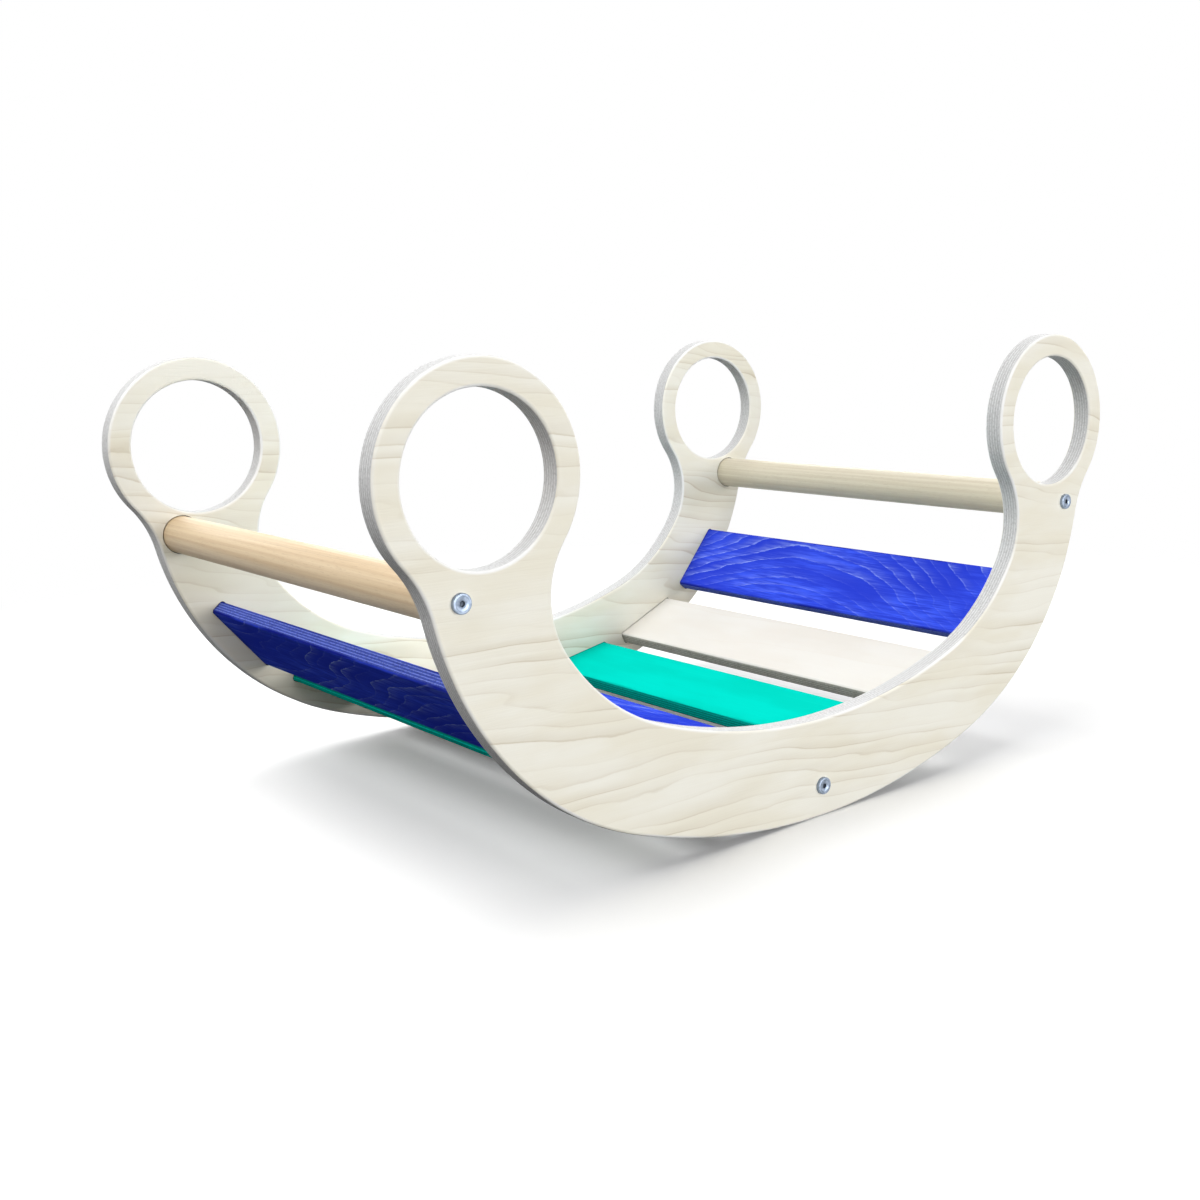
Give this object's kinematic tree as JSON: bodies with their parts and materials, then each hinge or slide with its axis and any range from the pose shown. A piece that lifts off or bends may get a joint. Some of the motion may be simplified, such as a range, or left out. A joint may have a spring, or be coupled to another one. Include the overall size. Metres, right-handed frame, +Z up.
{
  "type": "rocker arch",
  "caption": "Child's wooden rocker arch: curved plywood side panels with ring-shaped hand holes, joined by round grab bars and stained slats.",
  "frame": {"origin": "on the floor under the middle of the rocker, midway between the side panels", "axes": "+X along the rocker's length towards its right end, +Y across it towards the rear side panel, +Z up"},
  "size_m": [0.8898, 0.557, 0.4359],
  "materials": {
    "birch_plywood": "satin clear varnish on pale birch plywood",
    "beech": "satin clear varnish on turned beech",
    "blue_slat": "translucent blue stain with the grain showing through",
    "turquoise_slat": "translucent turquoise stain",
    "natural_slat": "pale unstained birch plywood",
    "zinc_bolt": "bright zinc plate",
    "zinc_insert": "zinc alloy"
  },
  "bodies": {
    "root": {"front_side_panel": "birch_plywood", "rear_side_panel": "birch_plywood", "left_grab_bar": "beech", "right_grab_bar": "beech", "left_blue_slat": "blue_slat", "left_turquoise_slat": "turquoise_slat", "left_natural_slat": "natural_slat", "centre_blue_slat": "blue_slat", "right_turquoise_slat": "turquoise_slat", "right_natural_slat": "natural_slat", "right_blue_slat": "blue_slat", "front_left_bar_bolt": "zinc_bolt", "front_right_bar_bolt": "zinc_bolt", "front_centre_slat_bolt": "zinc_bolt", "rear_left_bar_bolt": "zinc_bolt", "rear_right_bar_bolt": "zinc_bolt", "rear_centre_slat_bolt": "zinc_bolt", "front_left_bar_insert": "zinc_insert", "front_right_bar_insert": "zinc_insert", "front_centre_slat_insert": "zinc_insert", "rear_left_bar_insert": "zinc_insert", "rear_right_bar_insert": "zinc_insert", "rear_centre_slat_insert": "zinc_insert"}
  },
  "joints": []
}
